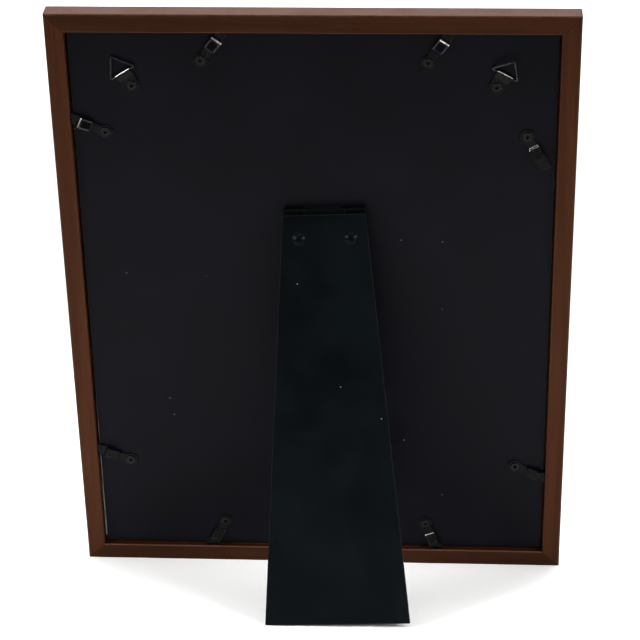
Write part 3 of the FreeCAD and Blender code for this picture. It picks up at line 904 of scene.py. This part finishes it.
def frame_and_sheets():
    # Each rail's side, grain, pattern shift and tone; the tone is painted shade, darkest on the bottom rail
    # and darker on the top rail, for the less light that falls on them.
    rails = (("top", GRAIN_ACROSS, 1.7, 0.86), ("bottom", GRAIN_ACROSS, 5.1, 0.66),
             ("left", GRAIN_UP, 9.3, 1.02), ("right", GRAIN_UP, 13.9, 1.0))
    for side, along, shift, tone in rails:
        node = "rail_" + side
        sheet(node + "_wood", node, 0.18, stained_wood("stain_" + side, along, shift, tone), "frame")
    black = black_sheet("black_board", FRAME_SPACE, BOARD_TINT, (0.38, 0.50), sheen=0.058, dust_shift=3.1)
    sheet("board_sheet", "backing_board", 0.25, black, "frame")
    sheet("glass_sheet", "glass_pane", 0.2, clear_glass("glass"), "frame")
    cards = [mat_card("mat_face", 1.0), mat_card("mat_core", 1.1)]
    piece("mat_card", [(bevelled_mat(), AS_IT_IS)], cards, "frame", "mat_board")
    dress("picture_sheet", misty_hills("print"))
    dress("corner_nails", metal("nail_steel"))


def turn_clips(steels, rivet):
    rivets = []
    for name, seat in clip_seats().items():
        shape = clip_shape(CLIP_RUBBED.get(name, ()))
        piece(name + "_pressed", [(shape, seat @ IN_MM)], steels, name, name)
        rivets.append((tubular_rivet(CLIP_GRIP), seat @ IN_MM))
    piece("clip_rivets_turned", rivets, [rivet], "frame", "clip_rivets")


def hangers(steels, rivet):
    wire = metal("ring_wire")
    strap = strap_shape()
    straps = []
    rivets = []
    for name, seat in hanger_seats().items():
        placed = seat @ ring_swing(name, seat) @ IN_MM
        piece(name + "_wire", [(ring_shape(), placed)], [wire], name, name)
        straps.append((strap, seat @ IN_MM))
        rivets.append((tubular_rivet(2 * STRAP_LAYER), seat @ IN_MM))
    piece("hanger_straps_folded", straps, steels[:RUBBED + 1], "frame", "hanger_straps")
    piece("hanger_rivets_turned", rivets, [rivet], "frame", "hanger_rivets")


def easel(rivet):
    black = black_sheet("black_leg", LEG_SPACE, LEG_TINT, (0.36, 0.48), sheen=0.045, dust_shift=8.2)
    sheet("leg_sheet", "leg_panel", 0.35, black, "leg")
    leaf = metal("black_hinge")
    for node, body in (("hinge_board_leaf", "frame"), ("hinge_leg_leaf", "leg")):
        sheet(node + "_steel", node, 0.12, leaf, body)
    inner, outer = (step / MM for step in leg_layers())
    domes = []
    for across, up in pair_places("leg_rivets", LEG_SPACE):
        domes.append((domed_rivet(inner, outer), LEG_SPACE @ Matrix.Translation((across, 0, up)) @ IN_MM))
    piece("leg_rivets_domed", domes, [metal("domed_rivet")], "leg", "leg_rivets")
    hollow = []
    for across, up in pair_places("hinge_board_rivets", HINGE_SPACE):
        place = Matrix.Translation((across, reach("hinge_board_leaf", OUT)[0] - HINGE.dot(OUT), up))
        hollow.append((tubular_rivet(LEAF), HINGE_SPACE @ place @ IN_MM))
    piece("hinge_rivets_turned", hollow, [rivet], "frame", "hinge_board_rivets")
    dress("hinge_pin", metal("pin_steel_painted_shade"))


def leg_layers():
    """How far out the leg leaf's inner face and the leg's outer face lie from the hinge pin."""
    out = LEG_SPACE.to_3x3() @ Vector((0, 1, 0))
    inner, outer = (step - HINGE.dot(out) for step in reach("leg_panel", out))
    return inner - LEAF * MM, outer


def dress(node, material):
    """Give a CAD node that is shown as it is its material."""
    data = NODES[node].data
    for slot in NODES[node].material_slots:
        slot.material = material
    if not data.materials:
        data.materials.append(material)


def build_object():
    steels = [metal(name) for name in ("black_steel", "rubbed_steel", "panel_steel_painted_shade", "border_steel_painted_highlight")]
    rivet = metal("black_rivet")
    frame_and_sheets()
    turn_clips(steels, rivet)
    hangers(steels, rivet)
    easel(rivet)


# ---------------------------------------------------------------------------------------------
# Floor, light and camera
# ---------------------------------------------------------------------------------------------

FLOOR_HALF = 12.0
FLOOR_TINT = (0.86, 0.855, 0.85, 1)


def pale_floor():
    turns = ((-1, -1), (1, -1), (1, 1), (-1, 1))
    corners = [(across * FLOOR_HALF, deep * FLOOR_HALF, 0) for across, deep in turns]
    mesh = bpy.data.meshes.new("floor")
    mesh.from_pydata(corners, [], [(0, 1, 2, 3)])
    floor = bpy.data.objects.new("floor", mesh)
    bpy.context.scene.collection.objects.link(floor)
    finish = Finish("pale_floor")
    finish.surface(Base_Color=FLOOR_TINT, Roughness=0.7)
    mesh.materials.append(finish.material)


def softbox(name, place, aim, size, watts, spread=180):
    """Rectangular light; a spread under 180 degrees is a grid over its front."""
    light = bpy.data.lights.new(name, "AREA")
    light.spread = math.radians(spread)
    light.shape = "RECTANGLE"
    light.size, light.size_y = size
    light.energy = watts
    lamp = bpy.data.objects.new(name, light)
    bpy.context.scene.collection.objects.link(lamp)
    lamp.location = place
    lamp.visible_camera = False
    lamp.rotation_euler = (Vector(aim) - Vector(place)).to_track_quat("-Z", "Y").to_euler()


def sky():
    """Dim all round, darker on the side of the leg, with a soft bright patch high in front."""
    world = bpy.data.worlds.new("studio")
    bpy.context.scene.world = world
    world.use_nodes = True
    graph = Graph(world.node_tree, "Generated")
    _, y, z = graph.parts()
    towards = graph.sums("MULTIPLY_ADD", y, -0.70, graph.product(z, 0.72))
    patch = graph.span(towards, 0.72, 0.96, 0.0, 0.6)
    dim = graph.span(y, -0.4, 0.3, 0.25, 0.03)
    background = world.node_tree.nodes["Background"].inputs
    graph.feed(background["Color"], (1, 1, 1, 1))
    graph.feed(background["Strength"], graph.sums("ADD", patch, dim))


def studio():
    """Even light from above, small lights for the glints, and gridded ones on each side of the leg."""
    sky()
    softbox("top_light", place=(0, -0.08, 1.05), aim=(0, -0.08, 0), size=(1.4, 0.7), watts=12)
    softbox("left_glint", place=(0.74, 0.03, 0.83), aim=(0.1, 0.03, 0.33), size=(0.12, 0.12), watts=0.6)
    softbox("right_glint", place=(-0.56, 0.05, 0.96), aim=(0, 0.03, 0.34), size=(0.36, 0.07), watts=0.4)
    for side, watts in ((-1, 1.16), (1, 1.34)):
        place = (side * 0.62, 0.42, 0.42)
        softbox("side_light", place, aim=(0, 0.05, 0), size=(0.34, 0.34), watts=watts, spread=66)
    softbox("high_light", place=(0, 0.9, 1.5), aim=(0, 0.05, 0), size=(1.2, 0.8), watts=5.2)
    softbox("far_light", place=(0, -2.5, 1.3), aim=(0, -2.2, 0), size=(4.0, 1.8), watts=74)
    bpy.context.scene.view_settings.view_transform = "Standard"


CAMERA_AZIMUTH = math.radians(183.401)
CAMERA_ELEVATION = math.radians(17.668)
CAMERA_ROLL = math.radians(-0.316)
CAMERA_DISTANCE = 1.36252
CAMERA_AIM = Vector((-1.82, 2.49, -8.14)) * MM
CAMERA_LENS = 126.76
SENSOR = 36


def camera():
    """The photograph's view: from behind, a little to one side and above."""
    low, high = CAD_BOX
    aim = (low + high) / 2 + CAMERA_AIM
    level = math.cos(CAMERA_ELEVATION)
    back = Vector((
        math.sin(CAMERA_AZIMUTH) * level, -math.cos(CAMERA_AZIMUTH) * level, math.sin(CAMERA_ELEVATION),
    ))
    data = bpy.data.cameras.new("camera")
    data.lens = CAMERA_LENS
    data.sensor_width = SENSOR
    data.clip_end = 100
    made = bpy.data.objects.new("camera", data)
    bpy.context.scene.collection.objects.link(made)
    made.location = aim + back * CAMERA_DISTANCE
    level_turn = (-back).to_track_quat("-Z", "Y").to_matrix()
    made.rotation_euler = (level_turn @ Matrix.Rotation(CAMERA_ROLL, 3, "Z")).to_euler()
    bpy.context.scene.camera = made


build_object()
pale_floor()
studio()
camera()
